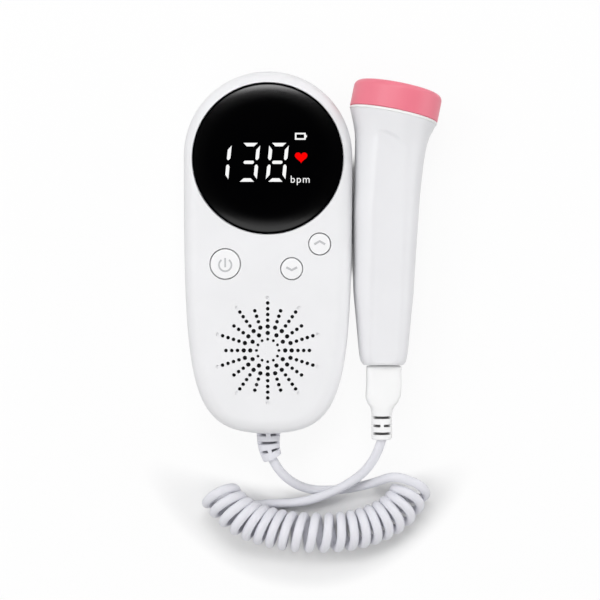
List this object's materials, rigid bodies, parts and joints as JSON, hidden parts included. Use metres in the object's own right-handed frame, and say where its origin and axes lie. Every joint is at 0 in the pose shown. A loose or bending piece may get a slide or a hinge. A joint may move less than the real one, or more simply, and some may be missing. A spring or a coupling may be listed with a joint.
{
  "type": "fetal doppler monitor",
  "caption": "Hand-held fetal heart monitor with round display, push buttons and speaker grille, joined by a curly cord to a plug-in ultrasound probe.",
  "frame": {"origin": "on the flat back of the display unit, halfway along its length and width, at table level", "axes": "+Z out of the display, away from the table; +Y along the display unit, from its cord end to its display end; +X from the display unit to the probe"},
  "size_m": [0.1047, 0.1967, 0.0368],
  "materials": {
    "housing_white": "satin injection moulded white",
    "lens_black": "clear glossy lens over a black mask",
    "probe_white": "satin moulded light grey white",
    "cap_pink": "smooth moulded pink",
    "cord_white": "soft extruded off-white",
    "dark_plastic": "dark moulded plastic",
    "speaker_cloth": "black acoustic cloth",
    "board_green": "solder mask green",
    "steel": "plated steel",
    "crystal_ceramic": "fired ceramic with a metal skin"
  },
  "bodies": {
    "display_unit": {"front_housing": "housing_white", "rear_housing": "housing_white", "display_lens": "lens_black", "display_module": "dark_plastic", "main_board": "board_green", "power_switch": "dark_plastic", "volume_up_switch": "dark_plastic", "volume_down_switch": "dark_plastic", "speaker_dust_cloth": "speaker_cloth", "speaker_basket": "steel", "speaker_cone": "dark_plastic", "speaker_magnet": "steel", "battery_cell_left": "steel", "battery_cell_right": "steel", "battery_contact_positive": "steel", "battery_contact_negative": "steel", "battery_bridge": "steel", "housing_screw_upper_left": "steel", "housing_screw_upper_right": "steel", "housing_screw_lower_left": "steel", "housing_screw_lower_right": "steel", "monitor_strain_relief": "cord_white", "cord_lead_monitor": "cord_white", "curly_cord": "cord_white", "cord_lead_probe": "cord_white", "plug_overmould": "cord_white", "plug_shell": "steel", "plug_tongue": "dark_plastic", "probe_cradle": "housing_white"},
    "power_key": {"power_button": "housing_white", "power_switch_plunger": "dark_plastic"},
    "volume_up_key": {"volume_up_button": "housing_white", "volume_up_switch_plunger": "dark_plastic"},
    "volume_down_key": {"volume_down_button": "housing_white", "volume_down_switch_plunger": "dark_plastic"},
    "battery_cover": {"battery_door": "housing_white"},
    "probe": {"probe_front_shell": "probe_white", "probe_rear_shell": "probe_white", "head_gasket": "cord_white", "probe_cap": "cap_pink", "probe_face": "probe_white", "piezo_crystal_left": "crystal_ceramic", "piezo_crystal_right": "crystal_ceramic", "transducer_backing": "dark_plastic", "probe_board": "board_green", "probe_socket": "dark_plastic"}
  },
  "joints": [
    {"name": "power_press", "type": "slide", "parent": "display_unit", "child": "power_key", "axis": [0, 0, -1], "range_m": [0, 0.0006], "stiffness_N_per_m": 400},
    {"name": "volume_up_press", "type": "slide", "parent": "display_unit", "child": "volume_up_key", "axis": [0, 0, -1], "range_m": [0, 0.0006], "stiffness_N_per_m": 400},
    {"name": "volume_down_press", "type": "slide", "parent": "display_unit", "child": "volume_down_key", "axis": [0, 0, -1], "range_m": [0, 0.0006], "stiffness_N_per_m": 400},
    {"name": "battery_door_slide", "type": "slide", "parent": "display_unit", "child": "battery_cover", "axis": [0, -1, 0], "range_m": [0, 0.01]},
    {"name": "probe_slide", "type": "slide", "parent": "display_unit", "child": "probe", "axis": [0, 1, 0], "range_m": [0, 0.085]}
  ]
}
